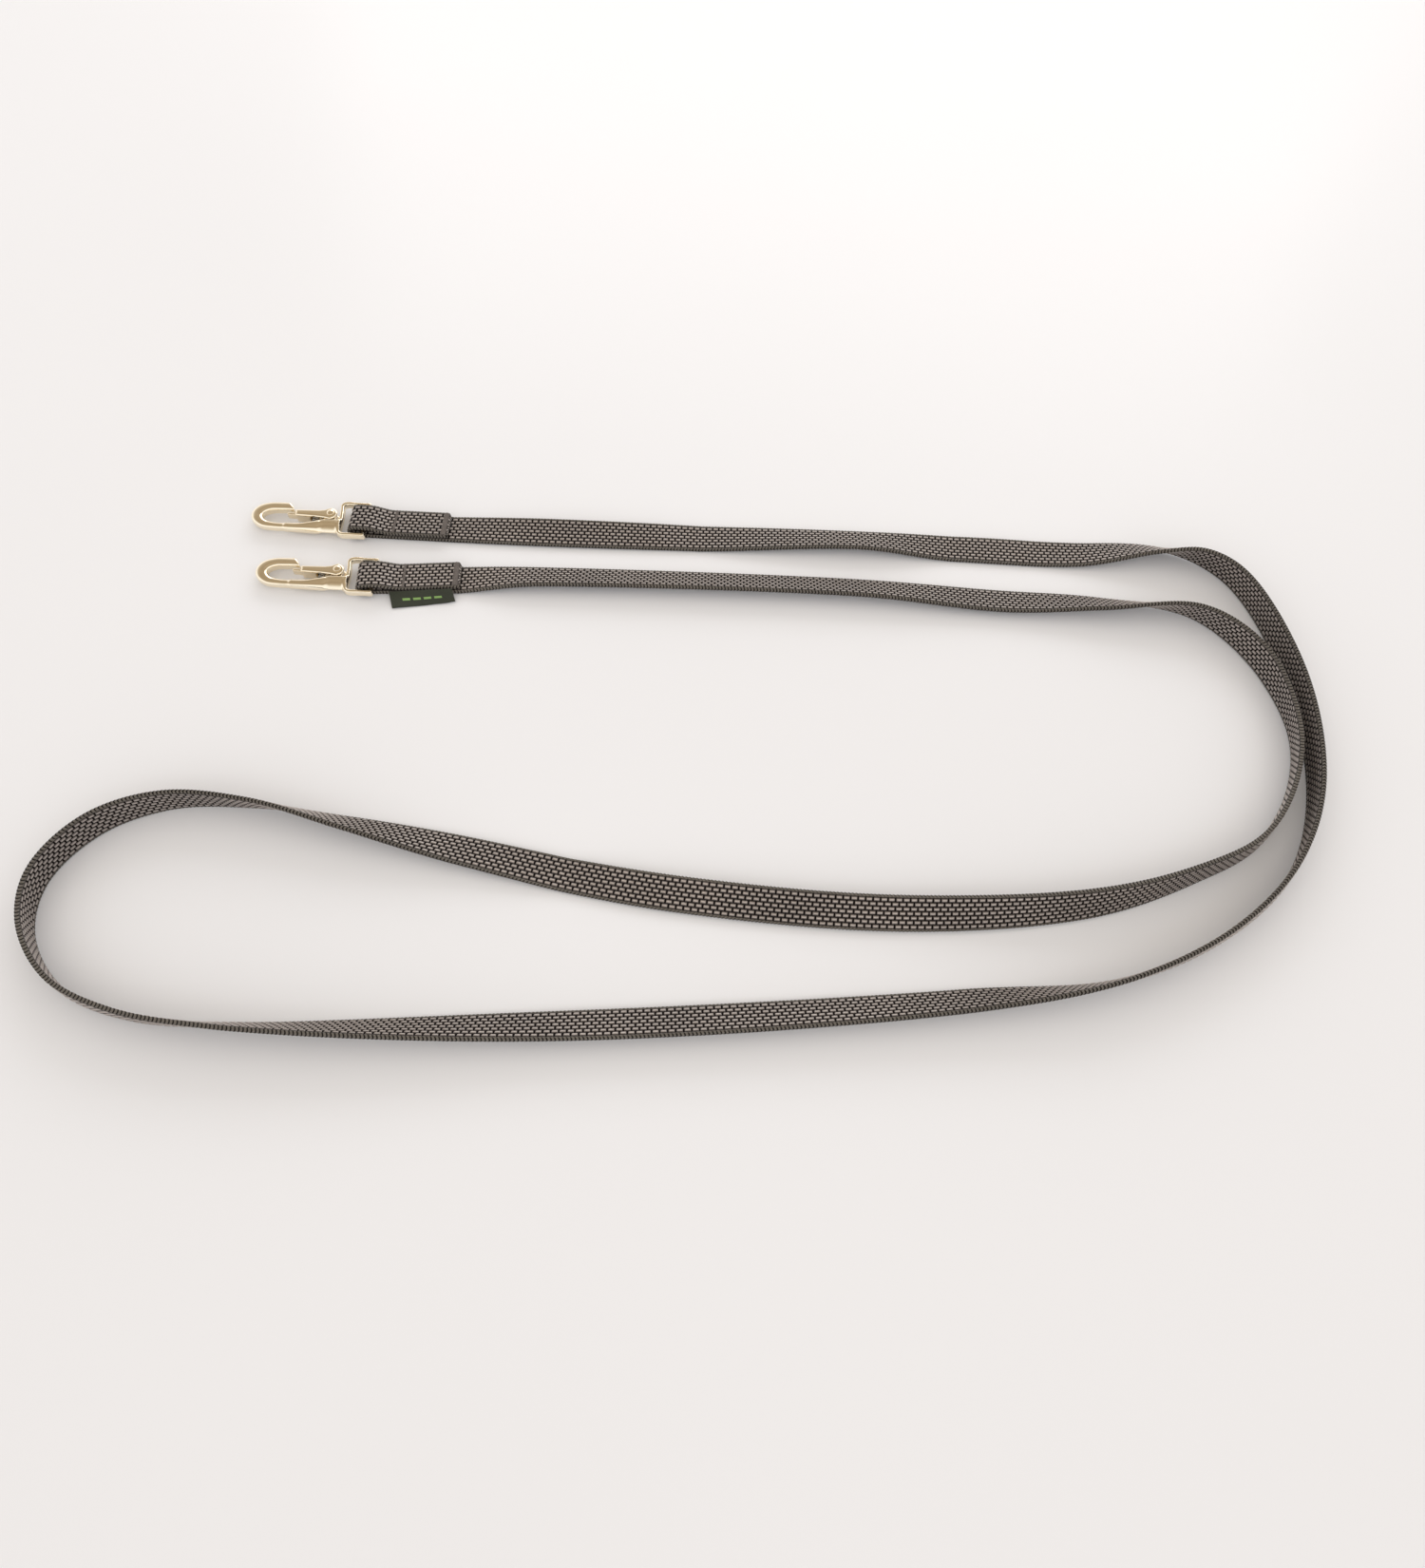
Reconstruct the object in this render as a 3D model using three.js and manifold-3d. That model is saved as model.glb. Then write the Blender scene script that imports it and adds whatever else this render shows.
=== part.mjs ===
// A flat webbing leash with a small snap hook sewn to each end, laid out on a table.
// Millimetres, +Z up. The leash lies on z = 0, and its two hooks lie side by side at the
// origin with their noses towards -X.

import * as THREE from "three";
import { mergeVertices } from "three/addons/utils/BufferGeometryUtils.js";
import Module from "manifold-3d";

const wasm = await Module();
wasm.setup();

// --- Driving dimensions -----------------------------------------------------------------

const WEB_WIDTH = 13; // webbing
const WEB_THICK = 1.8;
const GAP = 0.3; // kept between neighbouring pieces
const STEPS_PER_STOP = 2; // of the free webbing, which has more stops where it bends

const MID_Z = 3.2; // the hook's middle plane and the eye bar's axis
const BODY_THICK = 5.2; // broad part of the hook
const HORN_THICK = 4.4; // spine and nose of the hook
const EYE_THICK = 3;
const EYE_HALF = 8.8; // half the eye's width
const EYE_ARM = 1.6;
const EYE_LEFT = -10.6; // outer side of the bar that joins the eye to the hook
const EYE_RIGHT = 1.3; // ends of the arms
const NEAR_BAR = 1.7;
const BAR_RADIUS = 1.1; // the far bar, which carries the webbing

const PIN = { x: -14, y: 1.4, radius: 0.85, head: 1.5, headHeight: 0.55 };
const LUG = { radius: 2.1, thick: 2.8 };
const EAR = { radius: 2.7, thick: 0.9 };

const SPRING = { x: -20.4, low: -5.2, high: 0.9, radius: 1.05, wire: 0.25, turns: 5 };
const SPRING_POCKET = 1.6; // radius

const FOLD_LEFT = -5.7; // outer face of the fold around the bar
const TAIL_END = 35; // where the folded-back tail stops
const SEWN_HEIGHT = 3.9;
const LABEL_THICK = 0.7;

// Each end of the leash: where its eye bar lies, and how far the hook and the sewn webbing
// are turned about Z, in degrees. The slack fold lets the two differ a little.
const ENDS = {
  a: { x: 0.88, y: 16.63, hookYaw: 0, webYaw: 0 },
  b: { x: 9.6, y: -11.8, hookYaw: 0.4, webYaw: 4.4 },
};

// The free webbing's route from end a to end b: x, y, and the turn of its face in degrees
// from facing up towards the left of the way it runs.
const ROUTE = [
  [80, 17, -10],
  [140, 19, 0],
  [204, 21, 20],
  [245, 21, 0],
  [295, 21, 5],
  [329, 23, 43],
  [347, 19, 76],
  [360, 7, 90],
  [373, -38, 94],
  [371, -85, 88],
  [357, -118, 80],
  [330, -144, 88],
  [292, -163, 102],
  [238, -173, 138],
  [110, -188, 150],
  [0, -195, 110],
  [-36, -193, 93],
  [-60, -184, 86],
  [-75, -166, 84],
  [-77, -147, 90],
  [-65, -128, 95],
  [-43, -117, 90],
  [-12, -116, 76],
  [20, -121, 52],
  [62, -128, 18],
  [140, -140, -15],
  [220, -143, -30],
  [285, -136, -62],
  [322, -123, -82],
  [346, -109, -85],
  [362, -86, -80],
  [368, -60, -80],
  [360, -28, -95],
  [340, -9, -75],
  [302, -6, -35],
  [262, -6, -15],
  [203, -4, -25],
  [75, -7, -20],
];

// --- Materials --------------------------------------------------------------------------

function metal(color, roughness) {
  return new THREE.MeshStandardMaterial({ color, roughness, metalness: 1 });
}

function cloth(color) {
  return new THREE.MeshStandardMaterial({ color, roughness: 0.85, metalness: 0 });
}

// --- Solids -----------------------------------------------------------------------------

function solid(geometry) {
  const bare = geometry.clone();
  bare.deleteAttribute("normal");
  bare.deleteAttribute("uv");
  const merged = mergeVertices(bare, 1e-4);
  return new wasm.Manifold(
    new wasm.Mesh({
      numProp: 3,
      vertProperties: new Float32Array(merged.attributes.position.array),
      triVerts: new Uint32Array(merged.index.array),
    }),
  );
}

function meshOf(name, shape, material) {
  const result = shape.getMesh();
  const geometry = new THREE.BufferGeometry();
  geometry.setAttribute("position", new THREE.BufferAttribute(result.vertProperties, 3));
  geometry.setIndex(new THREE.BufferAttribute(result.triVerts, 1));
  geometry.computeVertexNormals();
  return named(name, geometry, material);
}

function named(name, geometry, material) {
  const mesh = new THREE.Mesh(geometry, material);
  mesh.name = name;
  return mesh;
}

// A flat outline made into a plate centred on the hook's middle plane, with rounded rims.
function plate(shape, thick, rim, curveSegments = 8) {
  const geometry = new THREE.ExtrudeGeometry(shape, {
    depth: thick - 2 * rim,
    bevelEnabled: rim > 0,
    bevelThickness: rim,
    bevelSize: rim,
    bevelOffset: -rim,
    bevelSegments: 2,
    curveSegments,
  });
  return geometry.translate(0, 0, MID_Z - thick / 2 + rim);
}

function discShape(x, y, radius) {
  const shape = new THREE.Shape();
  shape.absarc(x, y, radius, 0, 2 * Math.PI, false);
  return shape;
}

function boxSolid(x0, x1, y0, y1, z0, z1) {
  const geometry = new THREE.BoxGeometry(x1 - x0, y1 - y0, z1 - z0);
  return solid(geometry.translate((x0 + x1) / 2, (y0 + y1) / 2, (z0 + z1) / 2));
}

// --- Snap hook, drawn around the middle of its eye's far bar -----------------------------

// Spine, tip and nose: one horn that runs round the throat.
function hornShape() {
  const shape = new THREE.Shape();
  shape.moveTo(-19, -7.4);
  shape.lineTo(-31, -7.5);
  shape.bezierCurveTo(-40, -7.2, -46.7, -5.4, -46.7, -0.6);
  shape.bezierCurveTo(-46.7, 3.8, -40.5, 5.6, -33, 5.7);
  shape.lineTo(-30.6, 5.7);
  shape.lineTo(-28.4, 3.6);
  shape.lineTo(-28.4, 2);
  shape.lineTo(-37.5, 1.8);
  shape.quadraticCurveTo(-41.4, 1.6, -41.6, -0.7);
  shape.lineTo(-41.6, -1.9);
  shape.quadraticCurveTo(-41.4, -4.3, -38, -4.3);
  shape.lineTo(-33.5, -4.2);
  shape.lineTo(-24.4, -3.1);
  shape.lineTo(-19, -3.1);
  return shape;
}

// The broad part between the spine and the eye. Its upper edge leaves room for the gate.
function broadShape() {
  const shape = new THREE.Shape();
  shape.moveTo(EYE_LEFT + 0.6, -7.3);
  shape.lineTo(-22.5, -7.4);
  shape.lineTo(-24.6, -3.6);
  shape.lineTo(-23, -2.6);
  shape.lineTo(-17.6, -1.9);
  shape.lineTo(EYE_LEFT + 0.6, -1.7);
  return shape;
}

function lugShape() {
  const shape = new THREE.Shape();
  shape.moveTo(PIN.x + LUG.radius, -2.6);
  shape.lineTo(PIN.x + LUG.radius, PIN.y);
  shape.absarc(PIN.x, PIN.y, LUG.radius, 0, Math.PI, false);
  shape.lineTo(PIN.x - LUG.radius, -2.6);
  return shape;
}

function eyeShape() {
  const corner = 1.2;
  const shape = new THREE.Shape();
  shape.moveTo(EYE_LEFT + corner, -EYE_HALF);
  shape.lineTo(EYE_RIGHT - corner, -EYE_HALF);
  shape.absarc(EYE_RIGHT - corner, corner - EYE_HALF, corner, -Math.PI / 2, 0, false);
  shape.absarc(EYE_RIGHT - corner, EYE_HALF - corner, corner, 0, Math.PI / 2, false);
  shape.lineTo(EYE_LEFT + corner, EYE_HALF);
  shape.absarc(EYE_LEFT + corner, EYE_HALF - corner, corner, Math.PI / 2, Math.PI, false);
  shape.absarc(EYE_LEFT + corner, corner - EYE_HALF, corner, Math.PI, 1.5 * Math.PI, false);
  return shape;
}

// A round peg along Y, for the far bar and the spring's seats.
function pegY(x, y0, y1, radius, sides) {
  const geometry = new THREE.CylinderGeometry(radius, radius, y1 - y0, sides);
  return solid(geometry.translate(x, (y0 + y1) / 2, MID_Z));
}

// A round peg along Z, from z0 to z1 at the gate's pin.
function pegZ(z0, z1, radius, sides) {
  const geometry = new THREE.CylinderGeometry(radius, radius, z1 - z0, sides);
  return solid(geometry.rotateX(Math.PI / 2).translate(PIN.x, PIN.y, (z0 + z1) / 2));
}

function hookBody(side) {
  const inner = EYE_HALF - EYE_ARM;
  const window = boxSolid(EYE_LEFT + NEAR_BAR, 9, -inner, inner, 0, 2 * MID_Z);
  const body = solid(plate(eyeShape(), EYE_THICK, 0.5, 4))
    .subtract(window)
    .add(pegY(0, -EYE_HALF + 0.6, EYE_HALF - 0.6, BAR_RADIUS, 14))
    .add(solid(plate(hornShape(), HORN_THICK, 1.1)))
    .add(solid(plate(broadShape(), BODY_THICK, 0.8)))
    .add(solid(plate(lugShape(), LUG.thick, 0, 6)))
    .subtract(pegZ(0, 2 * MID_Z, PIN.radius + GAP, 16))
    .subtract(pegY(SPRING.x, SPRING.low - GAP, 2, SPRING_POCKET, 12));
  return meshOf(`hook_body_${side}`, body, metal(0xd8b47c, 0.14));
}

// The gate's bar with its thin tongue behind the nose, and the round hub at the pin.
function gateShape() {
  const shape = new THREE.Shape();
  shape.moveTo(PIN.x, PIN.y - EAR.radius);
  shape.absarc(PIN.x, PIN.y, EAR.radius, -Math.PI / 2, Math.PI * 0.7, false);
  shape.lineTo(-19, 2.6);
  shape.lineTo(-28, 2.2);
  shape.lineTo(-28, 1.4);
  shape.lineTo(-32, 1.3);
  shape.lineTo(-32, 0.4);
  shape.lineTo(-28.6, -0.3);
  shape.lineTo(-20, -0.7);
  return shape;
}

// The gate is a solid bar that forks into two ears around the hook body's lug.
function gate(side) {
  const slot = LUG.thick / 2 + GAP;
  const gapLeft = PIN.x - LUG.radius - 2 * GAP;
  const fork = boxSolid(gapLeft, 0, -9, 9, MID_Z - slot, MID_Z + slot);
  const noseRoom = EAR.thick + GAP;
  const top = MID_Z + BODY_THICK / 2;
  const bottom = MID_Z - BODY_THICK / 2;
  const shape = solid(plate(gateShape(), BODY_THICK, 0.3))
    .subtract(fork)
    .subtract(boxSolid(-40, -28.3, -9, 9, top - noseRoom, top + 1))
    .subtract(boxSolid(-40, -28.3, -9, 9, bottom - 1, bottom + noseRoom))
    .subtract(pegY(SPRING.x, -2, SPRING.high + GAP, SPRING_POCKET, 12))
    .subtract(pegZ(0, 2 * MID_Z, PIN.radius + GAP, 16));
  return meshOf(`gate_${side}`, shape, metal(0xcfa76c, 0.18));
}

// A shouldered rivet: both heads are proud of the gate's ears, and the hook rests on one.
function gatePin(side) {
  const { radius, head, headHeight } = PIN;
  const under = BODY_THICK / 2 + 0.05;
  const profile = [
    [0, -MID_Z],
    [head * 0.6, -MID_Z],
    [head, -MID_Z + headHeight / 2],
    [head, -under],
    [radius, -under],
    [radius, under],
    [head, under],
    [head, MID_Z - headHeight / 2],
    [head * 0.6, MID_Z],
    [0, MID_Z],
  ].map(([r, y]) => new THREE.Vector2(r, y));
  const geometry = new THREE.LatheGeometry(profile, 16);
  geometry.rotateX(Math.PI / 2).translate(PIN.x, PIN.y, MID_Z);
  return named(`gate_pin_${side}`, geometry, metal(0xc89d62, 0.22));
}

// A coil spring that pushes the gate shut, from the body's pocket to the gate's.
class Coil extends THREE.Curve {
  getPoint(t, target = new THREE.Vector3()) {
    const angle = 2 * Math.PI * SPRING.turns * t;
    const low = SPRING.low + SPRING.wire;
    const high = SPRING.high - SPRING.wire;
    return target.set(
      SPRING.x + SPRING.radius * Math.cos(angle),
      low + (high - low) * t,
      MID_Z + SPRING.radius * Math.sin(angle),
    );
  }
}

function gateSpring(side) {
  const geometry = new THREE.ExtrudeGeometry(discShape(0, 0, SPRING.wire), {
    extrudePath: new Coil(),
    steps: SPRING.turns * 9,
    curveSegments: 3,
  });
  return named(`gate_spring_${side}`, geometry, metal(0xb9b9bd, 0.3));
}

// --- Sewn end: the webbing folded round the eye's far bar and stitched to itself ----------

// A side view of the fold, with x along the leash and y standing for the height.
function foldShape() {
  const outer = MID_Z;
  const inner = MID_Z - WEB_THICK;
  const centre = FOLD_LEFT + outer;
  const shape = new THREE.Shape();
  shape.moveTo(centre, 0);
  shape.lineTo(TAIL_END, 0);
  shape.lineTo(TAIL_END, SEWN_HEIGHT - 0.7);
  shape.lineTo(TAIL_END - 0.7, SEWN_HEIGHT);
  shape.lineTo(11, SEWN_HEIGHT);
  shape.bezierCurveTo(7, SEWN_HEIGHT, 5, 2 * MID_Z, 1, 2 * MID_Z);
  shape.lineTo(centre, 2 * MID_Z);
  shape.absarc(centre, MID_Z, outer, Math.PI / 2, 1.5 * Math.PI, false);
  const hole = new THREE.Path();
  hole.moveTo(centre, MID_Z - inner);
  hole.absarc(centre, MID_Z, inner, 1.5 * Math.PI, Math.PI / 2, true);
  hole.lineTo(1, MID_Z + inner);
  hole.bezierCurveTo(4, MID_Z + inner, 5, WEB_THICK + 0.5, 8, WEB_THICK + 0.2);
  hole.lineTo(8, WEB_THICK);
  shape.holes.push(hole);
  return shape;
}

function sewnFold(side) {
  const geometry = new THREE.ExtrudeGeometry(foldShape(), {
    depth: WEB_WIDTH,
    bevelEnabled: false,
    curveSegments: 8,
  });
  geometry.translate(0, 0, -WEB_WIDTH / 2).rotateX(Math.PI / 2);
  return named(`sewn_fold_${side}`, geometry, cloth(0x6b625d));
}

// A row of thread across the webbing, just proud of the tail.
function bartack(name, x, length) {
  const width = WEB_WIDTH - 1.6;
  const geometry = new THREE.BoxGeometry(length, width, 0.3);
  geometry.translate(x, 0, SEWN_HEIGHT + GAP + 0.15);
  return named(name, geometry, cloth(0x776e67));
}

// A woven tab caught in the seam on one side of the tail. It slopes down to the table.
function label() {
  const shape = new THREE.Shape();
  shape.moveTo(6.7, 0);
  shape.lineTo(32, 0);
  shape.lineTo(33.2, -4);
  shape.lineTo(8.4, -6.9);
  const geometry = new THREE.ExtrudeGeometry(shape, {
    depth: LABEL_THICK,
    bevelEnabled: false,
  });
  geometry.rotateX(THREE.MathUtils.degToRad(7));
  geometry.translate(0, -WEB_WIDTH / 2 - GAP - 0.1, 1.2);
  return named("label_tab", geometry, cloth(0x2c3320));
}

// --- The free webbing --------------------------------------------------------------------

function endPoint(end, x) {
  const yaw = THREE.MathUtils.degToRad(end.webYaw);
  return [end.x + x * Math.cos(yaw), end.y + x * Math.sin(yaw), 0];
}

// A flat bar bent along the route. Its lower side or edge stays on the table as it turns.
function freeWebbing() {
  const stops = [endPoint(ENDS.a, TAIL_END + GAP), ...ROUTE, endPoint(ENDS.b, TAIL_END + GAP)];
  const points = stops.map(([x, y]) => new THREE.Vector3(x, y, 0));
  const turns = stops.map(([, , turn]) => new THREE.Vector3(turn, 0, 0));
  const curve = new THREE.CatmullRomCurve3(points, false, "centripetal");
  const turnCurve = new THREE.CatmullRomCurve3(turns, false, "catmullrom", 0.5);
  const steps = STEPS_PER_STOP * (stops.length - 1);
  const geometry = new THREE.BoxGeometry(1, WEB_WIDTH, WEB_THICK, steps, 1, 1);
  const position = geometry.attributes.position;
  const vertex = new THREE.Vector3();
  for (let i = 0; i < position.count; i += 1) {
    vertex.fromBufferAttribute(position, i);
    const t = THREE.MathUtils.clamp(vertex.x + 0.5, 0, 1);
    const along = curve.getTangent(t);
    const left = new THREE.Vector3(-along.y, along.x, 0);
    const turn = THREE.MathUtils.degToRad(turnCurve.getPoint(t).x);
    const across = left.clone().multiplyScalar(Math.cos(turn));
    across.z = -Math.sin(turn);
    const face = left.clone().multiplyScalar(Math.sin(turn));
    face.z = Math.cos(turn);
    const centre = curve.getPoint(t);
    centre.z = (WEB_WIDTH * Math.abs(across.z) + WEB_THICK * Math.abs(face.z)) / 2;
    centre.addScaledVector(across, vertex.y).addScaledVector(face, vertex.z);
    position.setXYZ(i, centre.x, centre.y, centre.z);
  }
  return named("webbing_strap", geometry, cloth(0x6f6661));
}

// --- The leash ---------------------------------------------------------------------------

function groupAt(end, yaw, ...meshes) {
  const group = new THREE.Group();
  group.position.set(end.x, end.y, 0);
  group.rotation.z = THREE.MathUtils.degToRad(yaw);
  return group.add(...meshes);
}

function snapHook(side) {
  const pieces = [hookBody(side), gate(side), gatePin(side), gateSpring(side)];
  return groupAt(ENDS[side], ENDS[side].hookYaw, ...pieces);
}

function sewnEnd(side) {
  const tailStitch = bartack(`tail_stitch_${side}`, TAIL_END - 2.4, 2.2);
  const eyeStitch = bartack(`eye_stitch_${side}`, 12.5, 1);
  const pieces = [sewnFold(side), tailStitch, eyeStitch];
  return groupAt(ENDS[side], ENDS[side].webYaw, ...pieces);
}

const leash = new THREE.Group();
leash.add(snapHook("a"), sewnEnd("a"), snapHook("b"), sewnEnd("b"));
leash.add(groupAt(ENDS.b, ENDS.b.webYaw, label()), freeWebbing());

export default leash;
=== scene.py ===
import math

import bpy
import numpy as np
from mathutils import Matrix, Vector


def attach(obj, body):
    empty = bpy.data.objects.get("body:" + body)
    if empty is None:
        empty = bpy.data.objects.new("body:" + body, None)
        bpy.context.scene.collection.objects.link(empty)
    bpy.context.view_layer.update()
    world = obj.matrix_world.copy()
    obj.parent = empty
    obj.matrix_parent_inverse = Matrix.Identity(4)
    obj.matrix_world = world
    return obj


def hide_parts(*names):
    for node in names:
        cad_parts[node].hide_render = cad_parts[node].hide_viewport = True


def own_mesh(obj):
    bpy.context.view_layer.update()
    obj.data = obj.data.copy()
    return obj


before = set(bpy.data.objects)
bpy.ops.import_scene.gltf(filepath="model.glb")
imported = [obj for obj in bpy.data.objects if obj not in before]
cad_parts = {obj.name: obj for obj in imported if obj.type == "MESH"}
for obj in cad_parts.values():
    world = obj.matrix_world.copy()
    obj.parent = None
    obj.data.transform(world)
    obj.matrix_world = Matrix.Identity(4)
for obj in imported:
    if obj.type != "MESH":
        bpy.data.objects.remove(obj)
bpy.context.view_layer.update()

RNG = np.random.default_rng(7)

# --- Camera --------------------------------------------------------------------------------

CAMERA_PLACE = Vector((0.150, -0.278, 0.350))
CAMERA_TILT = math.radians(62.4)
CAMERA_ROLL = math.radians(3.16)
CAMERA_LENS, CAMERA_SENSOR = 24.68, 36  # millimetres


def make_camera():
    data = bpy.data.cameras.new("camera")
    data.lens = CAMERA_LENS
    data.sensor_width = CAMERA_SENSOR
    data.clip_start = 0.01
    data.clip_end = 20
    camera = bpy.data.objects.new("camera", data)
    bpy.context.scene.collection.objects.link(camera)
    tilt, roll = CAMERA_TILT, CAMERA_ROLL
    right = (math.cos(roll), math.sin(roll) * math.sin(tilt), math.sin(roll) * math.cos(tilt))
    up = (-math.sin(roll), math.cos(roll) * math.sin(tilt), math.cos(roll) * math.cos(tilt))
    back = (0, -math.cos(tilt), math.sin(tilt))
    turn = Matrix((right, up, back)).transposed().to_4x4()
    camera.matrix_world = Matrix.Translation(CAMERA_PLACE) @ turn
    bpy.context.scene.camera = camera


make_camera()

# --- Sizes shared with the CAD, in metres ----------------------------------------------------

MM = 0.001
WEB_WIDTH = 0.013
WEB_THICK = 0.0018
TAIL_END = 0.035
MID_Z = 0.0032
FOLD_CENTRE_X = -0.0031
FOLD_RADIUS = 0.0023  # of the webbing's middle, round the eye bar
SEWN_TOP = 0.003  # middle of the folded-back layer
ENDS = {
    "a": {"x": 0.00088, "y": 0.01663, "hook_yaw": 0.0, "web_yaw": 0.0},
    "b": {"x": 0.0096, "y": -0.0118, "hook_yaw": 0.4, "web_yaw": 4.4},
}
PIN_X, PIN_Y = -14.0, 1.4  # millimetres from the far bar
SPRING_X, SPRING_LOW, SPRING_HIGH = -20.4, -5.2, 0.9

# The free webbing's route from end a to end b, as in part.mjs: x, y, and the turn of its
# face in degrees from facing up towards the left of the way it runs.
ROUTE = [
    (0.080, 0.017, -10),
    (0.140, 0.019, 0),
    (0.204, 0.021, 20),
    (0.245, 0.021, 0),
    (0.295, 0.021, 5),
    (0.329, 0.023, 43),
    (0.347, 0.019, 76),
    (0.360, 0.007, 90),
    (0.373, -0.038, 94),
    (0.371, -0.085, 88),
    (0.357, -0.118, 80),
    (0.330, -0.144, 88),
    (0.292, -0.163, 102),
    (0.238, -0.173, 138),
    (0.110, -0.188, 150),
    (0.000, -0.195, 110),
    (-0.036, -0.193, 93),
    (-0.060, -0.184, 86),
    (-0.075, -0.166, 84),
    (-0.077, -0.147, 90),
    (-0.065, -0.128, 95),
    (-0.043, -0.117, 90),
    (-0.012, -0.116, 76),
    (0.020, -0.121, 52),
    (0.062, -0.128, 18),
    (0.140, -0.140, -15),
    (0.220, -0.143, -30),
    (0.285, -0.136, -62),
    (0.322, -0.123, -82),
    (0.346, -0.109, -85),
    (0.362, -0.086, -80),
    (0.368, -0.060, -80),
    (0.360, -0.028, -95),
    (0.340, -0.009, -75),
    (0.302, -0.006, -35),
    (0.262, -0.006, -15),
    (0.203, -0.004, -25),
    (0.075, -0.007, -20),
]

# The weave, seen on both faces: rows of short floats, each row half a pitch from the next.
WEAVE_PITCH = 0.002585
WEAVE_ROWS = 7
ROW_WIDTH = 0.00155
STEPS_PER_PITCH = 4


def web_matrix(end):
    yaw = math.radians(end["web_yaw"])
    return Matrix.Translation((end["x"], end["y"], 0)) @ Matrix.Rotation(yaw, 4, "Z")


def hook_matrix(end):
    yaw = math.radians(end["hook_yaw"])
    return Matrix.Translation((end["x"], end["y"], MID_Z)) @ Matrix.Rotation(yaw, 4, "Z")


def moved(matrix, points):
    m = np.array(matrix)
    return np.asarray(points) @ m[:3, :3].T + m[:3, 3]


def mesh_object(name, verts, faces, uvs=None):
    mesh = bpy.data.meshes.new(name)
    mesh.from_pydata(np.asarray(verts).tolist(), [], [list(map(int, f)) for f in faces])
    if uvs is not None:
        layer = mesh.uv_layers.new(name="weave")
        corner = np.zeros(len(mesh.loops), np.int32)
        mesh.loops.foreach_get("vertex_index", corner)
        layer.data.foreach_set("uv", np.asarray(uvs, np.float32)[corner].ravel())
    mesh.polygons.foreach_set("use_smooth", np.ones(len(mesh.polygons), bool))
    mesh.update()
    piece = bpy.data.objects.new(name, mesh)
    bpy.context.scene.collection.objects.link(piece)
    return piece


# --- Material helpers ------------------------------------------------------------------------


class Nodes:
    """A material's node tree, with short calls for its usual nodes."""

    def __init__(self, name):
        self.material = bpy.data.materials.new(name)
        self.material.use_nodes = True
        self.tree = self.material.node_tree
        self.shader = next(n for n in self.tree.nodes if n.type == "BSDF_PRINCIPLED")

    def add(self, kind, inputs=None, **settings):
        node = self.tree.nodes.new(kind)
        for key, value in settings.items():
            setattr(node, key, value)
        for key, value in (inputs or {}).items():
            self.feed(node.inputs[key], value)
        return node

    def feed(self, socket, value):
        if isinstance(value, bpy.types.NodeSocket):
            self.tree.links.new(value, socket)
        else:
            socket.default_value = value

    def math(self, operation, *values, clamp=False):
        node = self.add("ShaderNodeMath", operation=operation, use_clamp=clamp)
        for socket, value in zip(node.inputs, values):
            self.feed(socket, value)
        return node.outputs[0]

    def smooth(self, value, start, end):
        node = self.add("ShaderNodeMapRange", interpolation_type="SMOOTHSTEP")
        for key, v in zip(("Value", "From Min", "From Max"), (value, start, end)):
            self.feed(node.inputs[key], v)
        return node.outputs[0]

    def spread(self, value, low, high):
        node = self.add("ShaderNodeMapRange")
        for key, v in zip(("Value", "To Min", "To Max"), (value, low, high)):
            self.feed(node.inputs[key], v)
        return node.outputs[0]

    def mix(self, share, first, second, blend="MIX"):
        node = self.add("ShaderNodeMix", data_type="RGBA", blend_type=blend)
        for socket, value in zip((node.inputs[0], node.inputs[6], node.inputs[7]),
                                 (share, first, second)):
            self.feed(socket, value)
        return node.outputs[2]

    def noise(self, vector, scale, detail=3.0, roughness=0.55):
        inputs = {"Vector": vector, "Scale": scale, "Detail": detail, "Roughness": roughness}
        return self.add("ShaderNodeTexNoise", inputs).outputs[0]

    def place(self):
        return self.add("ShaderNodeTexCoord").outputs["Object"]

    def bump(self, height, strength, distance):
        inputs = {"Height": height, "Strength": strength, "Distance": distance}
        node = self.add("ShaderNodeBump", inputs)
        self.feed(self.shader.inputs["Normal"], node.outputs[0])

    def put(self, **sockets):
        for key, value in sockets.items():
            self.feed(self.shader.inputs[key.replace("_", " ")], value)


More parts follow.
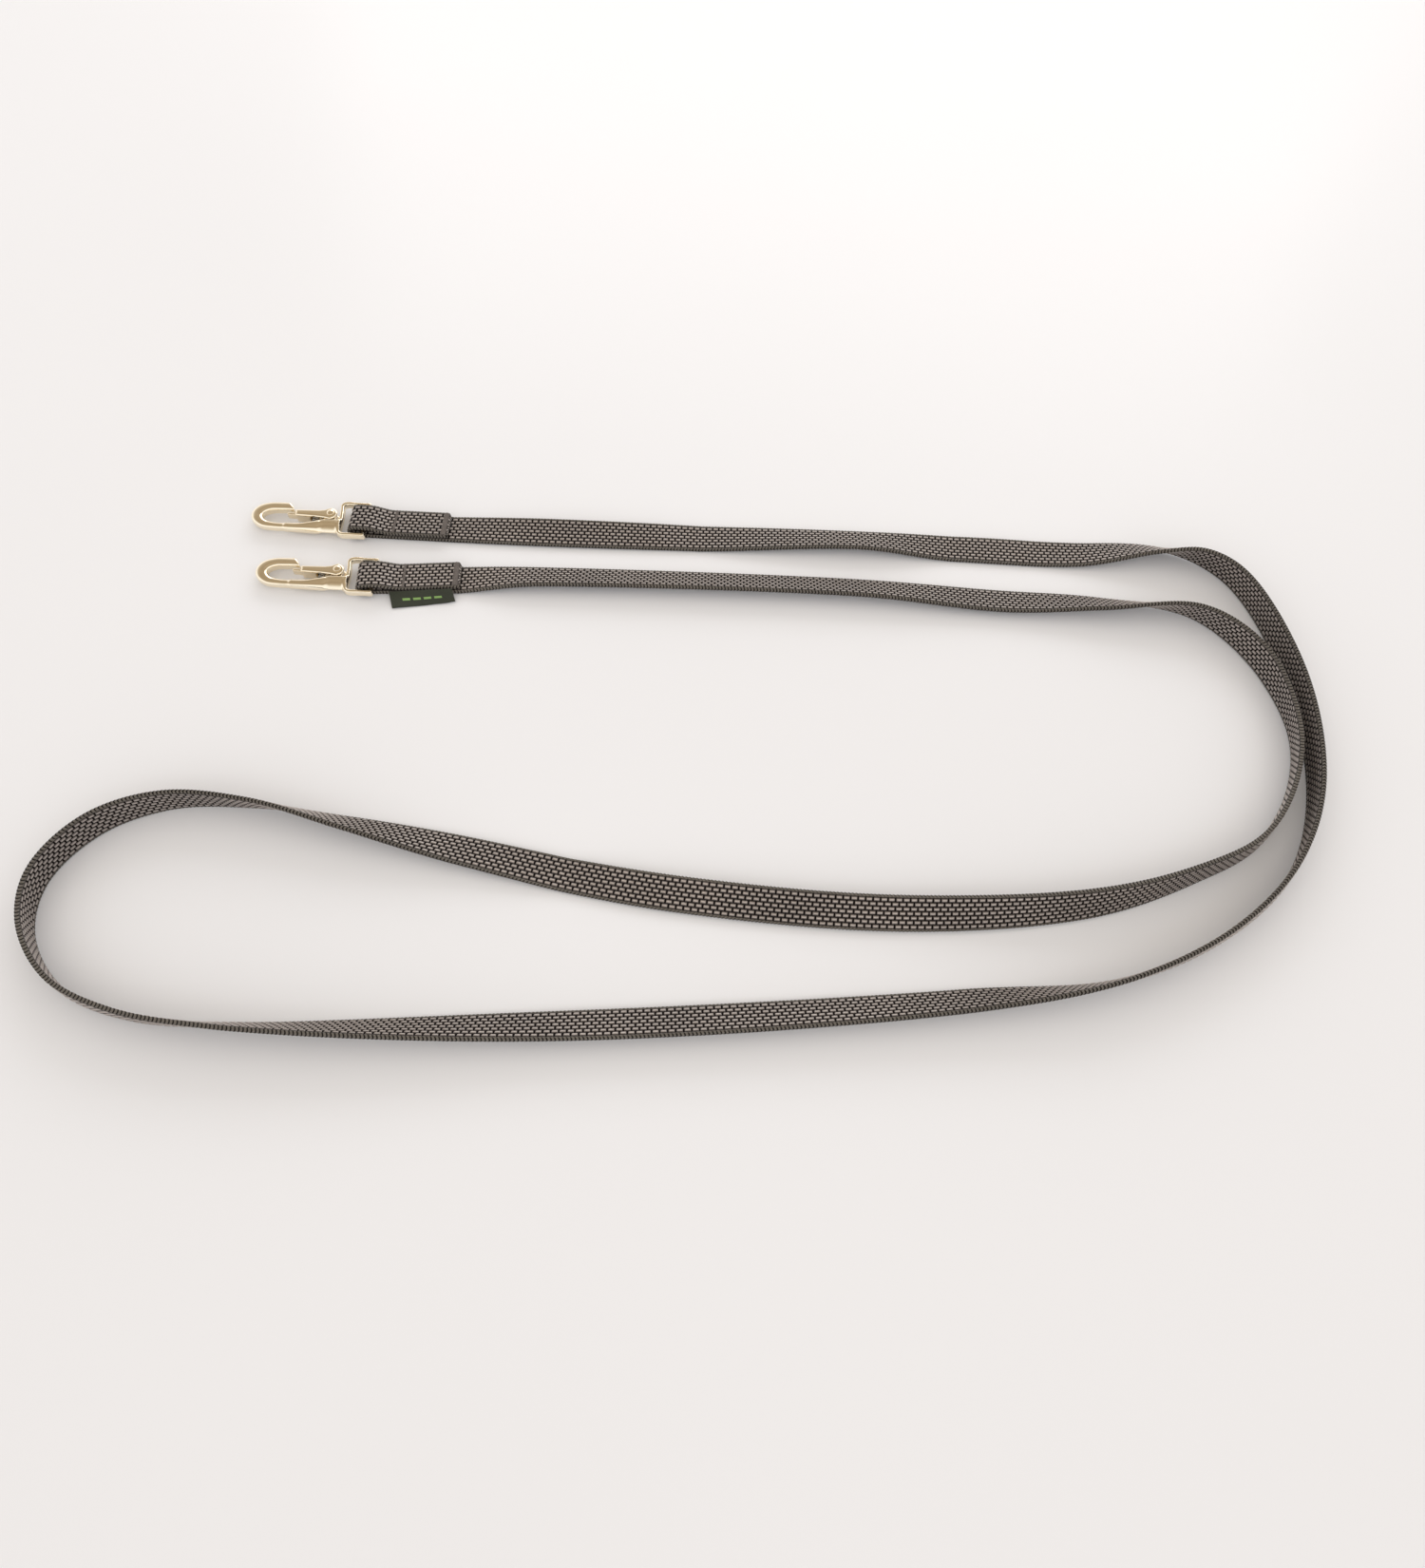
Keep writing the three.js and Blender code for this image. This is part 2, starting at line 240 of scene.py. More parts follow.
def webbing_material():
    n = Nodes("webbing")
    uv = n.add("ShaderNodeUVMap", uv_map="weave")
    parts = n.add("ShaderNodeSeparateXYZ", {"Vector": uv.outputs[0]})
    along, across = parts.outputs[0], parts.outputs[1]
    last_row = WEAVE_ROWS / 2
    row_at = n.math("ADD", across, last_row)
    row = n.math("FLOOR", row_at)
    in_row = n.math("ABSOLUTE", n.math("SUBTRACT", n.math("FRACT", row_at), 0.5))
    odd = n.math("MULTIPLY", n.math("PINGPONG", row, 1), 0.5)
    in_float = n.math("FRACT", n.math("ADD", along, odd))
    from_gap = n.math("PINGPONG", in_float, 0.5)
    length_mask = n.smooth(from_gap, 0.085, 0.15)
    width_mask = n.smooth(in_row, 0.5, 0.24)
    lit = n.math("MULTIPLY", length_mask, width_mask)
    outside = n.math("ABSOLUTE", across)
    rows_mask = n.smooth(outside, last_row + 0.1, last_row - 0.05)
    # The selvedge is a plain band whose outer rim is cut into small teeth.
    slant = n.math("ADD", n.math("MULTIPLY", along, 2), n.math("MULTIPLY", outside, 0.8))
    tooth = n.smooth(n.math("PINGPONG", n.math("FRACT", slant), 0.5), 0.10, 0.30)
    rim = n.spread(n.smooth(outside, last_row + 0.2, last_row + 0.6), 0.28, 0.78)
    gap_dark = n.math("MULTIPLY", rim, n.math("SUBTRACT", 1, tooth))
    edge_lit = n.math("SUBTRACT", 0.82, gap_dark, clamp=True)
    weave = n.math("ADD", n.math("MULTIPLY", lit, rows_mask),
                   n.math("MULTIPLY", edge_lit, n.math("SUBTRACT", 1, rows_mask)))
    place = n.place()
    patch = n.spread(n.noise(place, 26, 2.0), 0.72, 1.28)
    speck = n.spread(n.noise(place, 900, 2.0), 0.7, 1.3)
    fleck = n.math("MULTIPLY", patch, speck)
    # Painted highlight: a pale line along the middle of each float, where the window's glint
    # falls on its crown.
    crest = n.math("MULTIPLY", n.smooth(in_row, 0.25, 0.05), n.smooth(from_gap, 0.12, 0.24))
    edge_thread, float_thread = (0.140, 0.118, 0.094, 1), (0.170, 0.140, 0.125, 1)
    painted_highlight_color, in_gaps = (0.440, 0.380, 0.345, 1), (0.008, 0.006, 0.0055, 1)
    thread = n.mix(rows_mask, edge_thread, float_thread)
    # The float's own thread colour, with the painted highlight laid along its crown.
    float_with_painted_highlight = n.mix(n.math("MULTIPLY", crest, rows_mask), thread, painted_highlight_color)
    base = n.mix(weave, in_gaps, float_with_painted_highlight)
    shade = n.add("ShaderNodeCombineColor", {"Red": fleck, "Green": fleck, "Blue": fleck})
    n.put(Base_Color=n.mix(1.0, base, shade.outputs[0], "MULTIPLY"))
    n.put(Roughness=n.spread(weave, 0.8, 0.36), Specular_IOR_Level=n.spread(weave, 0.1, 1.0))
    # A float is highest along its middle. 3.6 keeps the square root real out to a row's edge.
    fall = n.math("MULTIPLY", n.math("POWER", in_row, 2), 3.6)
    crown = n.math("SQRT", n.math("SUBTRACT", 1, fall))
    height = n.math("ADD", n.math("MULTIPLY", weave, crown),
                    n.math("MULTIPLY", n.noise(place, 2600, 2.0), 0.35))
    n.bump(height, 1.0, 0.0004)
    return n.material


def thread_material():
    n = Nodes("thread")
    uv = n.add("ShaderNodeUVMap", uv_map="weave")
    parts = n.add("ShaderNodeSeparateXYZ", {"Vector": uv.outputs[0]})
    twist = n.math("ADD", n.math("MULTIPLY", parts.outputs[0], 9), parts.outputs[1])
    strand = n.math("PINGPONG", n.math("FRACT", twist), 0.5)
    mask = n.smooth(strand, 0.03, 0.3)
    tint = n.noise(n.place(), 300, 2.0)
    light = n.mix(tint, (0.155, 0.130, 0.117, 1), (0.235, 0.20, 0.18, 1))
    n.put(Base_Color=n.mix(mask, (0.05, 0.042, 0.037, 1), light), Roughness=0.62)
    n.bump(mask, 0.6, 0.00008)
    return n.material


def metal_material(name, light, dark):
    n = Nodes(name)
    place = n.place()
    cloud = n.noise(place, 160, 3.0)
    n.put(Base_Color=n.mix(cloud, dark, light), Metallic=1.0)
    n.put(Roughness=n.spread(n.noise(place, 420, 4.0), 0.07, 0.19))
    n.bump(n.noise(place, 240, 2.0), 0.12, 0.0001)
    return n.material


def spring_material():
    n = Nodes("spring_steel")
    place = n.place()
    scratch = n.noise(place, 1500, 2.0)
    n.put(Base_Color=n.mix(scratch, (0.42, 0.41, 0.40, 1), (0.58, 0.57, 0.55, 1)))
    n.put(Metallic=1.0, Roughness=n.spread(scratch, 0.22, 0.4))
    return n.material


def label_material():
    """Dark green woven cloth with a plain row of wide light bars."""
    n = Nodes("label")
    uv = n.add("ShaderNodeUVMap", uv_map="weave")
    parts = n.add("ShaderNodeSeparateXYZ", {"Vector": uv.outputs[0]})
    along, down = parts.outputs[0], parts.outputs[1]
    ribs = n.math("PINGPONG", n.math("FRACT", n.math("MULTIPLY", along, 90)), 0.5)
    weft = n.math("PINGPONG", n.math("FRACT", n.math("MULTIPLY", down, 26)), 0.5)
    cloth = n.math("MULTIPLY", n.smooth(ribs, 0.0, 0.3), n.smooth(weft, 0.0, 0.25))
    bar = n.math("PINGPONG", n.math("FRACT", n.math("MULTIPLY", along, 6)), 0.5)
    bars = n.smooth(bar, 0.13, 0.16)
    middle = n.math("ABSOLUTE", n.math("SUBTRACT", down, 0.53))
    band = n.smooth(middle, 0.085, 0.06)
    inside = n.smooth(n.math("ABSOLUTE", n.math("SUBTRACT", along, 0.5)), 0.345, 0.335)
    mark = n.math("MULTIPLY", n.math("MULTIPLY", bars, band), inside)
    ground = n.mix(cloth, (0.012, 0.014, 0.009, 1), (0.045, 0.052, 0.030, 1))
    light = n.mix(cloth, (0.21, 0.36, 0.10, 1), (0.27, 0.45, 0.14, 1))
    n.put(Base_Color=n.mix(mark, ground, light), Roughness=0.78, Sheen_Weight=0.15)
    n.bump(n.math("ADD", cloth, n.math("MULTIPLY", mark, 0.7)), 0.5, 0.0001)
    return n.material


WEBBING = webbing_material()
THREAD = thread_material()
HOOK_METAL = metal_material("hook_metal", (0.97, 0.88, 0.71, 1), (0.95, 0.84, 0.65, 1))
GATE_METAL = metal_material("gate_metal", (0.96, 0.87, 0.69, 1), (0.94, 0.82, 0.63, 1))
PIN_METAL = metal_material("pin_metal", (0.95, 0.85, 0.67, 1), (0.91, 0.79, 0.59, 1))
SPRING_STEEL = spring_material()
LABEL = label_material()


def finish_piece(piece, body, slot, material, *nodes):
    piece.data.materials.append(material)
    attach(piece, body)
    if nodes:
        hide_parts(*nodes)
    return piece


# --- Webbing ---------------------------------------------------------------------------------

# One ring round the webbing: places across each face, from one edge to the other.
CROWN = 0.00605  # the selvedge's own ridge
EDGE_RIPPLE = 0.00028  # how far the selvedge swells and pulls in within half a pitch
FLOAT_RISE = 0.2  # the share of a pitch in which a float climbs out of its gap
ROW_EDGES = (np.arange(2 * WEAVE_ROWS + 1) / 2 - WEAVE_ROWS / 2) * ROW_WIDTH
FACE_COLUMNS = np.concatenate([[-CROWN], ROW_EDGES, [CROWN]])
HIGH, GAP_HEIGHT, BETWEEN_ROWS, EDGE_HEIGHT = 0.00098, 0.00045, 0.0006, 0.00078


def face_heights(phase):
    """Half thickness at each column of a face, for each ring's phase in pitches."""
    heights = np.empty((len(phase), len(FACE_COLUMNS)))
    heights[:, [0, -1]] = EDGE_HEIGHT
    twice = np.abs(((2 * phase) % 1.0) - 0.5)[:, None]
    heights[:, [0, -1]] += (twice - 0.25) * EDGE_RIPPLE
    heights[:, 1:-1:2] = BETWEEN_ROWS
    for row in range(WEAVE_ROWS):
        within = (phase + 0.5 * (row % 2)) % 1.0
        from_gap = np.minimum(within, 1 - within)
        rise = np.clip(from_gap / FLOAT_RISE, 0, 1)
        heights[:, 2 + 2 * row] = GAP_HEIGHT + (HIGH - GAP_HEIGHT) * rise
    return heights


def webbing_rings(centre, across, face, phase, thin=None, narrow=None):
    """Rings of vertices round woven webbing, and their UVs. Phase counts pitches along it."""
    thin = np.ones(len(phase)) if thin is None else thin
    narrow = np.ones(len(phase)) if narrow is None else narrow
    heights = face_heights(phase) * thin[:, None]
    ripple = EDGE_RIPPLE * np.abs(((phase * 2) % 1.0) - 0.5) * 2
    edge = (WEB_WIDTH / 2 - ripple) * narrow
    columns = FACE_COLUMNS[None, :] * narrow[:, None]
    rings, uvs = [], []

    def place(v, w):
        return centre + across * v[:, None] + face * w[:, None]

    for k in range(len(FACE_COLUMNS)):
        rings.append(place(columns[:, k], heights[:, k]))
        uvs.append(np.full(len(phase), FACE_COLUMNS[k]))
    rings.append(place(edge, 0 * edge))
    uvs.append(np.full(len(phase), WEB_WIDTH / 2))
    for k in reversed(range(len(FACE_COLUMNS))):
        rings.append(place(columns[:, k], -heights[:, k]))
        uvs.append(np.full(len(phase), FACE_COLUMNS[k]))
    rings.append(place(-edge, 0 * edge))
    uvs.append(np.full(len(phase), -WEB_WIDTH / 2))
    verts = np.stack(rings, 1)
    flat = np.stack(uvs, 1) / ROW_WIDTH
    uv = np.stack([np.broadcast_to(phase[:, None], flat.shape), flat], -1)
    return verts, uv


def tube_faces(count, sides):
    """Quads between neighbouring rings, with the two ends left open."""
    k = np.arange(count - 1)[:, None] * sides
    j = np.arange(sides)[None, :]
    nxt = (j + 1) % sides
    quads = np.stack([k + j, k + sides + j, k + sides + nxt, k + nxt], -1).reshape(-1, 4)
    return quads.tolist()


def flat_caps(count, sides):
    """Closes a webbing ring's two ends with strips from one face to the other."""
    half = sides // 2
    faces = []
    for base, flip in ((0, False), ((count - 1) * sides, True)):
        strip = []
        for k in range(half - 2):
            strip.append([k, k + 1, sides - 3 - k, sides - 2 - k])
        strip.append([sides - 1, 0, sides - 2])
        strip.append([half - 2, half - 1, half])
        for face in strip:
            face = [base + v for v in face]
            faces.append(face if flip else face[::-1])
    return faces


def catmull(p0, p1, p2, p3, t, knots):
    """A cubic through p1 and p2, with the knot spacings either side."""
    a, b, c = knots
    first = ((p1 - p0) / a - (p2 - p0) / (a + b) + (p2 - p1) / b) * b
    last = ((p2 - p1) / b - (p3 - p1) / (b + c) + (p3 - p2) / c) * b
    return (p1 + first * t + (-3 * p1 + 3 * p2 - 2 * first - last) * t * t
            + (2 * p1 - 2 * p2 + first + last) * t ** 3)


def route_stops():
    stops = []
    for name in "ab":
        at = web_matrix(ENDS[name]) @ Vector((TAIL_END, 0, 0))
        stops.append((at.x, at.y, 0))
    return np.array([stops[0], *ROUTE, stops[1]], float)


def route_at(stops, t):
    """Position and turn at t, which counts stops."""
    padded = np.vstack([2 * stops[0] - stops[1], stops, 2 * stops[-1] - stops[-2]])
    span = np.clip(t.astype(int), 0, len(stops) - 2)
    part = (t - span)[:, None]
    p0, p1, p2, p3 = (padded[span + k] for k in range(4))
    root = [np.sqrt(np.linalg.norm((q - p)[:, :2], axis=1))[:, None]
            for p, q in ((p0, p1), (p1, p2), (p2, p3))]
    xy = catmull(p0[:, :2], p1[:, :2], p2[:, :2], p3[:, :2], part, root)
    even = [np.ones_like(part)] * 3
    turn = catmull(p0[:, 2:], p1[:, 2:], p2[:, 2:], p3[:, 2:], part, even)[:, 0]
    return xy, turn


def route_frames(stops, t):
    """Centre, across and face at each t. The webbing's lowest edge or side is on the table."""
    xy, turn = route_at(stops, t)
    small = 1e-3
    ahead, _ = route_at(stops, np.minimum(t + small, len(stops) - 1))
    behind, _ = route_at(stops, np.maximum(t - small, 0))
    along = ahead - behind
    along /= np.linalg.norm(along, axis=1)[:, None]
    angle = np.radians(turn)[:, None]
    left = np.stack([-along[:, 1], along[:, 0], np.zeros(len(t))], -1)
    up = np.array([[0.0, 0.0, 1.0]])
    across = left * np.cos(angle) - up * np.sin(angle)
    face = left * np.sin(angle) + up * np.cos(angle)
    height = (WEB_WIDTH * np.abs(across[:, 2]) + WEB_THICK * np.abs(face[:, 2])) / 2
    return np.column_stack([xy, height]), across, face


def lengths_along(centre):
    steps = np.linalg.norm(np.diff(centre, axis=0), axis=1)
    return np.concatenate([[0], np.cumsum(steps)])


def make_free_webbing():
    stops = route_stops()
    samples_per_span = 60
    fine = np.linspace(0, len(stops) - 1, samples_per_span * (len(stops) - 1) + 1)
    run = lengths_along(route_frames(stops, fine)[0])
    pitches = round(run[-1] / WEAVE_PITCH)
    count = pitches * STEPS_PER_PITCH + 1
    t = np.interp(np.linspace(0, run[-1], count), run, fine)
    centre, across, face = route_frames(stops, t)
    phase = np.linspace(0, pitches, count)
    verts, uv = webbing_rings(centre, across, face, phase)
    sides = verts.shape[1]
    faces = tube_faces(count, sides) + flat_caps(count, sides)
    piece = mesh_object("webbing_run", verts.reshape(-1, 3), faces, uv.reshape(-1, 2))
    finish_piece(piece, "webbing", "webbing", WEBBING, "webbing_strap")
    return pitches


PITCHES = make_free_webbing()

# --- Sewn ends -------------------------------------------------------------------------------


def fold_line():
    """The middle of the folded webbing from its joint with the free run to the tail's end."""
    bottom = [(x, WEB_THICK / 2) for x in np.linspace(TAIL_END, FOLD_CENTRE_X, 60)]
    arc = [(FOLD_CENTRE_X - FOLD_RADIUS * math.sin(a), MID_Z - FOLD_RADIUS * math.cos(a))
           for a in np.linspace(0, math.pi, 40)[1:]]
    top_z = MID_Z + FOLD_RADIUS
    crest, foot = 0.001, 0.0115  # where the upper layer starts down, and where it lies flat
    slope = []
    for s in np.linspace(0, 1, 40)[1:]:
        eased = s * s * (3 - 2 * s)
        slope.append((crest + (foot - crest) * s, top_z + (SEWN_TOP - top_z) * eased))
    short_of_seam = 0.0002
    flat = [(x, SEWN_TOP) for x in np.linspace(foot, TAIL_END - short_of_seam, 50)[1:]]
    return np.array(bottom + arc + slope + flat)


def make_sewn_end(name, end, first_phase, direction, skew):
    line = fold_line()
    points = np.column_stack([line[:, 0], 0 * line[:, 0], line[:, 1]])
    run = lengths_along(points)
    count = round(run[-1] / (WEAVE_PITCH / STEPS_PER_PITCH)) + 1
    at = np.linspace(0, run[-1], count)
    x, z = np.interp(at, run, line[:, 0]), np.interp(at, run, line[:, 1])
    along = np.gradient(np.column_stack([x, z]), axis=0)
    along /= np.linalg.norm(along, axis=1)[:, None]
    # The side that faces up on the lower layer goes inside the fold.
    face = np.column_stack([along[:, 1], 0 * x, -along[:, 0]])
    side = 1 if direction < 0 else -1
    across = np.tile([[0.0, float(side), 0.0]], (count, 1))
    to_tail = run[-1] - at
    # The cut end thins out, its corners are rounded, and it sags onto the layer below.
    cut_share, cut_length, cut_sag = 0.45, 0.0014, 0.0002
    fullness = np.sqrt(np.clip(to_tail / cut_length, 0, 1))
    thin = np.clip(cut_share + (1 - cut_share) * fullness, 0, 1)
    corner, corner_depth = 0.0018, 0.9
    inset = np.clip(1 - to_tail / corner, 0, 1)
    narrow = 1 - (corner / (WEB_WIDTH / 2)) * (1 - np.sqrt(1 - inset ** 2)) * corner_depth
    sag = np.column_stack([0 * x, 0 * x, -cut_sag * (1 - thin) / (1 - cut_share)])
    phase = first_phase + direction * at / WEAVE_PITCH
    centre = np.column_stack([x, 0 * x, z]) + sag
    verts, uv = webbing_rings(centre, across, face, phase, thin, narrow)
    sides = verts.shape[1]
    faces = tube_faces(count, sides) + flat_caps(count, sides)
    if side < 0:
        faces = [f[::-1] for f in faces]
    flat = verts.reshape(-1, 3)
    # One corner of the tail stands up a little.
    lift_x, lift_y, lift_reach, lift_height = 0.0315, 0.003, 0.0035, 0.0005
    between_layers = 0.0019
    lift = np.clip((flat[:, 0] - lift_x) / lift_reach, 0, 1) ** 2
    lift *= np.clip((flat[:, 1] - lift_y) / lift_reach, 0, 1) * (flat[:, 2] > between_layers)
    flat[:, 2] += lift_height * lift
    # The layer on top is sewn down slightly askew, and the fold takes up the difference.
    skew_from, skew_climb = 0.0012, 0.002
    upper = np.clip((flat[:, 2] - skew_from) / skew_climb, 0, 1)
    flat[:, 1] += upper * (skew[0] + (skew[1] - skew[0]) * flat[:, 0] / TAIL_END)
    piece = mesh_object(f"sewn_end_{name}", moved(web_matrix(end), flat), faces,
                        uv.reshape(-1, 2))
    finish_piece(piece, "webbing", "webbing", WEBBING, f"sewn_fold_{name}")


# How far the upper layer is off to the side, at the eye and at the tail's end.
SKEW = {"a": (0.0, 0.0003), "b": (-0.0004, 0.0010)}
make_sewn_end("a", ENDS["a"], 0.0, -1, SKEW["a"])
make_sewn_end("b", ENDS["b"], float(PITCHES), 1, SKEW["b"])


STITCH_TOP = 0.0040  # the sewn end's top face
NEEDLE_DEPTH, THREAD_RISE = 0.00035, 0.00012  # below and above STITCH_TOP
THREAD_RADIUS = 0.00019
STITCH_MARGIN = 0.0009
STITCH_WANDER = 0.00006


def thread_tube(points, radius, sides=8):
    """A round thread through points, with its UVs along and round it."""
    points = np.asarray(points, float)
    along = np.gradient(points, axis=0)
    along /= np.linalg.norm(along, axis=1)[:, None]
    up = np.array([0.0, 0.0, 1.0])
    side = np.cross(along, up)
    side /= np.maximum(np.linalg.norm(side, axis=1)[:, None], 1e-9)
    top = np.cross(side, along)
    angles = np.arange(sides) * 2 * math.pi / sides
    radii = np.broadcast_to(np.asarray(radius, float), (len(points),))
    ring = (side[:, None, :] * np.cos(angles)[None, :, None]
            + top[:, None, :] * np.sin(angles)[None, :, None])
    verts = points[:, None, :] + ring * radii[:, None, None]
    run = lengths_along(points) / MM
    uv = np.stack([np.broadcast_to(run[:, None], (len(points), sides)),
                   np.broadcast_to(np.arange(sides)[None, :] / sides,
                                   (len(points), sides))], -1)
    faces = tube_faces(len(points), sides)
    last = (len(points) - 1) * sides
    faces = [f[::-1] for f in faces]
    faces.append(list(range(sides)))
    faces.append([last + k for k in reversed(range(sides))])
    return verts.reshape(-1, 3), faces, uv.reshape(-1, 2)


def make_zigzag(name, end, skew, node, x, width, turns):
    """A zigzag row of thread across the tail, its needle points sunk into the webbing."""
    half = WEB_WIDTH / 2 - STITCH_MARGIN
    sunk, proud = STITCH_TOP - NEEDLE_DEPTH, STITCH_TOP + THREAD_RISE
    points = []
    for k in range(turns + 1):
        y = -half + 2 * half * k / turns
        y_next = -half + 2 * half * (k + 0.5) / turns
        wander = RNG.normal(0, STITCH_WANDER, 2)
        points.append((x - width / 2 + wander[0], y, sunk))
        points.append((x, (y + y_next) / 2, proud))
        if k < turns:
            points.append((x + width / 2 + wander[1], y_next, sunk))
            points.append((x, y_next + half / turns / 2, proud))
    points = np.array(points)
    fine = np.linspace(0, len(points) - 1, 5 * (len(points) - 1) + 1)
    smooth = np.column_stack([np.interp(fine, np.arange(len(points)), points[:, k])
                              for k in range(3)])
    for _ in range(2):
        smooth[1:-1] = (smooth[:-2] + 2 * smooth[1:-1] + smooth[2:]) / 4
    smooth[:, 1] += skew[0] + (skew[1] - skew[0]) * x / TAIL_END
    verts, faces, uv = thread_tube(smooth, THREAD_RADIUS)
    piece = mesh_object(name, moved(web_matrix(end), verts), faces, uv)
    finish_piece(piece, "webbing", "thread", THREAD, node)


for key, end in ENDS.items():
    make_zigzag(f"tail_zigzag_{key}", end, SKEW[key], f"tail_stitch_{key}",
                x=0.0330, width=0.0024, turns=26)
    make_zigzag(f"eye_zigzag_{key}", end, SKEW[key], f"eye_stitch_{key}",
                x=0.0125, width=0.0011, turns=22)


def make_label():
    """A folded woven tab, from the seam of the tail down to the table."""
    near = [(0.0067, -0.0066), (0.032, -0.0066)]
    far = [(0.0084, -0.01345), (0.0332, -0.0106)]
    columns, rows = 72, 24
    thick, rest_height = 0.00062, 0.00045
    seam_height, seam_climb, hang = 0.0017, 0.0016, 1.3
    wave_height, corner_lift, corner_from = 0.00012, 0.0006, 0.86
    rim_share, rim_cells = 0.35, 1.6
    grid = np.zeros((rows + 1, columns + 1, 3))
    uv = np.zeros((rows + 1, columns + 1, 2))
    for r in range(rows + 1):
        down = r / rows
        for c in range(columns + 1):
            along = c / columns
            a = np.array(near[0]) * (1 - along) + np.array(near[1]) * along
            b = np.array(far[0]) * (1 - along) + np.array(far[1]) * along
            xy = a * (1 - down) + b * down
            rise = seam_height + seam_climb * along
            droop = rise * (1 - down) ** hang + rest_height
            wave = wave_height * math.sin(along * 9.0 + 0.6) * down
            lift = corner_lift * max(0.0, along - corner_from) / (1 - corner_from) * down
            grid[r, c] = (xy[0], xy[1], droop + wave + lift)
            uv[r, c] = (along, down)
    # The tab's thickness eases off in the last cells before its three free sides.
    edge = np.ones((rows + 1, columns + 1))
    for r in range(rows + 1):
        for c in range(columns + 1):
            near_edge = min(c, columns - c, rows - r) / rim_cells
            edge[r, c] = min(1.0, rim_share + (1 - rim_share) * near_edge)
    top, bottom = grid.copy(), grid.copy()
    top[:, :, 2] += thick / 2 * edge
    bottom[:, :, 2] -= thick / 2 * edge
    verts = np.concatenate([top.reshape(-1, 3), bottom.reshape(-1, 3)])
    uvs = np.concatenate([uv.reshape(-1, 2)] * 2)
    size = (rows + 1) * (columns + 1)
    faces = []
    for r in range(rows):
        for c in range(columns):
            k = r * (columns + 1) + c
            quad = [k, k + columns + 1, k + columns + 2, k + 1]
            faces.append(quad)
            faces.append([size + v for v in reversed(quad)])
    rim = ([c for c in range(columns)]
           + [r * (columns + 1) + columns for r in range(rows)]
           + [rows * (columns + 1) + c for c in range(columns, 0, -1)]
           + [r * (columns + 1) for r in range(rows, 0, -1)])
    for a, b in zip(rim, rim[1:] + rim[:1]):
        faces.append([a, b, size + b, size + a])
    piece = mesh_object("woven_tab", moved(web_matrix(ENDS["b"]), verts), faces, uvs)
    finish_piece(piece, "webbing", "label", LABEL, "label_tab")


make_label()

# --- Hooks -----------------------------------------------------------------------------------
# Each cast piece is the surface of a field of distances in millimetres, negative inside. The
# hook's own frame has its origin in the middle of the eye's far bar, and z up from its middle.

PIN_HOLE, POCKET, FAR_BAR, LUG, HUB = 1.15, 1.6, 1.1, 2.1, 2.7  # radii
EYE_HALF = 8  # from the hook's middle to the middle of the eye's side
COIL_RADIUS, SPRING_WIRE = 1.05, 0.25
FAR_AWAY = 1e9


def smooth_min(a, b, k):
    h = np.maximum(k - np.abs(a - b), 0) / k
    return np.minimum(a, b) - h * h * k / 4


def smooth_max(a, b, k):
    return -smooth_min(-a, -b, k)


def slab(outline, z, half, rounding):
    """A plate of that outline and half thickness, with rounded rims."""
    a, b = outline + rounding, np.abs(z) - half + rounding
    outside = np.hypot(np.maximum(a, 0), np.maximum(b, 0))
    return outside + np.minimum(np.maximum(a, b), 0) - rounding


def polygon(x, y, corners):
    """Distance to a closed outline, negative inside."""
    corners = np.asarray(corners, float)
    nearest = np.full(x.shape, FAR_AWAY)
    inside = np.zeros(x.shape, bool)
    for (ax, ay), (bx, by) in zip(corners, np.roll(corners, -1, axis=0)):
        ex, ey = bx - ax, by - ay
        t = np.clip(((x - ax) * ex + (y - ay) * ey) / (ex * ex + ey * ey), 0, 1)
        nearest = np.minimum(nearest, (x - ax - ex * t) ** 2 + (y - ay - ey * t) ** 2)
        crosses = (ay > y) != (by > y)
        if by != ay:
            inside ^= crosses & (x < ax + (y - ay) * ex / ey)
    return np.where(inside, -1, 1) * np.sqrt(nearest)


def bar_along(x, y, z, stops, power):
    """A bar that follows stops of x, y, half width and half height, squarer as power grows."""
    stops = np.asarray(stops, float)
    t = np.linspace(0, len(stops) - 1, 9 * (len(stops) - 1) + 1)
    padded = np.vstack([2 * stops[0] - stops[1], stops, 2 * stops[-1] - stops[-2]])
    span = np.clip(t.astype(int), 0, len(stops) - 2)
    part = (t - span)[:, None]
    knots = [np.sqrt(np.linalg.norm((padded[span + k + 1] - padded[span + k])[:, :2],
                                    axis=1))[:, None] for k in range(3)]
    path = catmull(padded[span], padded[span + 1], padded[span + 2], padded[span + 3],
                   part, knots)
    best = np.full(x.shape, FAR_AWAY)
    width = np.zeros(x.shape)
    height = np.ones(x.shape)
    for a, b in zip(path[:-1], path[1:]):
        ex, ey = b[0] - a[0], b[1] - a[1]
        s = np.clip(((x - a[0]) * ex + (y - a[1]) * ey) / (ex * ex + ey * ey), 0, 1)
        d = (x - a[0] - ex * s) ** 2 + (y - a[1] - ey * s) ** 2
        closer = d < best
        best = np.where(closer, d, best)
        width = np.where(closer, a[2] + (b[2] - a[2]) * s, width)
        height = np.where(closer, a[3] + (b[3] - a[3]) * s, height)
    flat = np.sqrt(best) / width
    tall = np.abs(z) / height
    round_ = (flat ** power + tall ** power) ** (1 / power)
    return (round_ - 1) * np.minimum(width, height)


